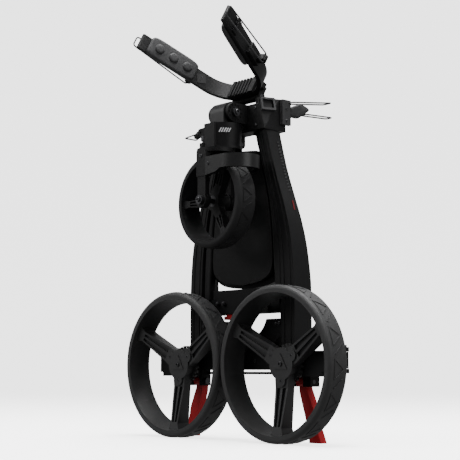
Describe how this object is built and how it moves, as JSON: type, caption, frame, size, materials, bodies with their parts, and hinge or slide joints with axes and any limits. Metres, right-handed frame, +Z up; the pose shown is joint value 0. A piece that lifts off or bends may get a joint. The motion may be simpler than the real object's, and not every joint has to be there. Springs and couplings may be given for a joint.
{
  "type": "folding golf push cart",
  "caption": "Three-wheel golf push cart folded flat and stored upright, with hinged mast, folding handle, bag cradles, swinging rear wheel arms and red brake pedals.",
  "frame": {"origin": "on the floor under the centre of the folded cart's bounding box", "axes": "+Z up along the folded mast, +X to the side with the mudguard, -Y towards the wheels' outer faces"},
  "size_m": [0.584, 0.3346, 0.8052],
  "materials": {
    "frame_paint": "satin charcoal powder coat",
    "black_casting": "fine matt grain",
    "satin_grey": "satin",
    "console_black": "semi gloss",
    "wheel_grey": "matt moulded",
    "tyre_foam": "matt foam",
    "pad_rubber": "soft matt",
    "red_plastic": "satin",
    "wire_steel": "satin wire",
    "pin_steel": "turned",
    "bronze": "sintered"
  },
  "bodies": {
    "base": {"side_rail_left": "frame_paint", "side_rail_right": "frame_paint", "axle_beam": "frame_paint", "hinge_brackets": "black_casting", "swing_pins": "pin_steel", "rear_bow": "black_casting", "mast_pin": "pin_steel", "nose_box": "black_casting", "elbow_pin": "pin_steel", "rail_top_brackets": "black_casting", "strap_buckles": "black_casting", "lower_pads": "pad_rubber", "pedal_brackets": "black_casting", "pedal_pins": "pin_steel", "tie_rod": "frame_paint"},
    "wheel_arm_right": {"wheel_arm_right": "frame_paint", "rear_axle_right": "pin_steel"},
    "wheel_arm_left": {"wheel_arm_left": "frame_paint", "rear_axle_left": "pin_steel"},
    "rear_wheel_right": {"rear_wheel_right": "wheel_grey", "rear_tyre_right": "tyre_foam", "rear_bearings_right": "pin_steel", "rear_hub_cap_right": "wheel_grey"},
    "rear_wheel_left": {"rear_wheel_left": "wheel_grey", "rear_tyre_left": "tyre_foam", "rear_bearings_left": "pin_steel", "rear_hub_cap_left": "wheel_grey"},
    "mast": {"mast_tubes": "frame_paint", "mast_foot": "black_casting", "foot_bolts": "pin_steel", "mast_head": "black_casting", "tilt_pin": "pin_steel", "handle_pins": "pin_steel"},
    "handle": {"handle_hoop": "frame_paint", "console_panel": "console_black"},
    "stem": {"elbow": "satin_grey", "stem_housing": "black_casting", "swivel_bushes": "bronze", "lever_base": "black_casting"},
    "fork": {"fork": "black_casting", "mudguard": "satin_grey", "front_axle": "pin_steel"},
    "front_wheel": {"front_wheel": "wheel_grey", "front_tyre": "tyre_foam", "front_bearings": "pin_steel"},
    "upper_cradle": {"cradle_yoke": "satin_grey", "cradle_base": "black_casting", "cradle_console": "satin_grey", "cradle_pads": "pad_rubber", "cradle_clips": "black_casting"},
    "cradle_bail_right": {"cradle_bail_right": "wire_steel"},
    "cradle_bail_left": {"cradle_bail_left": "wire_steel"},
    "lower_bail_right": {"lower_bail_right": "wire_steel"},
    "lower_bail_left": {"lower_bail_left": "wire_steel"},
    "swivel_plunger": {"swivel_plunger": "pin_steel"},
    "release_tab": {"release_tab": "red_plastic"},
    "clamp_lever": {"clamp_lever": "black_casting"},
    "clamp_bail": {"clamp_bail": "wire_steel"},
    "brake_pedal_right": {"brake_pedal_right": "red_plastic"},
    "brake_pedal_left": {"brake_pedal_left": "red_plastic"}
  },
  "joints": [
    {"name": "right_wheel_swing", "type": "hinge", "parent": "base", "child": "wheel_arm_right", "pos_m": [0.248, 0.0193, 0.15], "axis": [0, 0, 1], "range_deg": [0, 90]},
    {"name": "left_wheel_swing", "type": "hinge", "parent": "base", "child": "wheel_arm_left", "pos_m": [-0.248, 0.0193, 0.15], "axis": [0, 0, -1], "range_deg": [0, 90]},
    {"name": "right_wheel_spin", "type": "hinge", "parent": "wheel_arm_right", "child": "rear_wheel_right", "pos_m": [0.147, -0.0337, 0.145], "axis": [0, 1, 0], "continuous": true},
    {"name": "left_wheel_spin", "type": "hinge", "parent": "wheel_arm_left", "child": "rear_wheel_left", "pos_m": [-0.147, -0.0337, 0.145], "axis": [0, 1, 0], "continuous": true},
    {"name": "mast_fold", "type": "hinge", "parent": "base", "child": "mast", "pos_m": [0, 0.0193, 0.256], "axis": [-1, 0, 0], "range_deg": [0, 110]},
    {"name": "handle_fold", "type": "hinge", "parent": "mast", "child": "handle", "pos_m": [0, 0.0273, 0.588], "axis": [1, 0, 0], "range_deg": [0, 155]},
    {"name": "fork_fold", "type": "hinge", "parent": "base", "child": "stem", "pos_m": [0, -0.043, 0.635], "axis": [-1, 0, 0], "range_deg": [0, 145]},
    {"name": "front_swivel", "type": "hinge", "parent": "stem", "child": "fork", "pos_m": [0, -0.0667, 0.58], "axis": [0, 0, -1], "range_deg": [0, 90]},
    {"name": "front_wheel_spin", "type": "hinge", "parent": "fork", "child": "front_wheel", "pos_m": [0, -0.0667, 0.459], "axis": [0, 1, 0], "continuous": true},
    {"name": "cradle_tilt", "type": "hinge", "parent": "mast", "child": "upper_cradle", "pos_m": [0, 0.0193, 0.676], "axis": [-1, 0, 0], "range_deg": [0, 15]},
    {"name": "right_cradle_bail", "type": "hinge", "parent": "upper_cradle", "child": "cradle_bail_right", "pos_m": [0.11266, -0.04313, 0.72606], "axis": [0, 0.4848, 0.8746], "range_deg": [0, 30]},
    {"name": "left_cradle_bail", "type": "hinge", "parent": "upper_cradle", "child": "cradle_bail_left", "pos_m": [-0.11266, -0.04313, 0.72606], "axis": [0, -0.4848, -0.8746], "range_deg": [0, 30]},
    {"name": "right_lower_bail", "type": "hinge", "parent": "base", "child": "lower_bail_right", "pos_m": [0.081, 0.0518, 0.659], "axis": [1, 0, 0], "range_deg": [0, 40]},
    {"name": "left_lower_bail", "type": "hinge", "parent": "base", "child": "lower_bail_left", "pos_m": [-0.081, 0.0518, 0.659], "axis": [1, 0, 0], "range_deg": [0, 40]},
    {"name": "swivel_plunger_slide", "type": "slide", "parent": "stem", "child": "swivel_plunger", "axis": [0, 0, 1], "range_m": [0, 0.006], "stiffness_N_per_m": 400, "springref_m": -0.002},
    {"name": "release_tab_slide", "type": "slide", "parent": "mast", "child": "release_tab", "axis": [0, 0, 1], "range_m": [0, 0.003], "stiffness_N_per_m": 300, "springref_m": -0.002},
    {"name": "clamp_lever_hinge", "type": "hinge", "parent": "stem", "child": "clamp_lever", "pos_m": [-0.048, -0.0587, 0.604], "axis": [0, 1, 0], "range_deg": [0, 60]},
    {"name": "clamp_bail_hinge", "type": "hinge", "parent": "clamp_lever", "child": "clamp_bail", "pos_m": [-0.057, -0.0587, 0.6015], "axis": [0, 1, 0], "range_deg": [0, 20]},
    {"name": "right_pedal", "type": "hinge", "parent": "base", "child": "brake_pedal_right", "pos_m": [0.147, 0.0193, 0.112], "axis": [-1, 0, 0], "range_deg": [0, 12]},
    {"name": "left_pedal", "type": "hinge", "parent": "base", "child": "brake_pedal_left", "pos_m": [-0.147, 0.0193, 0.112], "axis": [-1, 0, 0], "range_deg": [0, 12]}
  ],
  "couplings": [
    {"joint": "handle_fold", "follows": "mast_fold", "ratio": 1.4091},
    {"joint": "fork_fold", "follows": "mast_fold", "ratio": 1.3182},
    {"joint": "front_swivel", "follows": "mast_fold", "ratio": 0.81818}
  ]
}
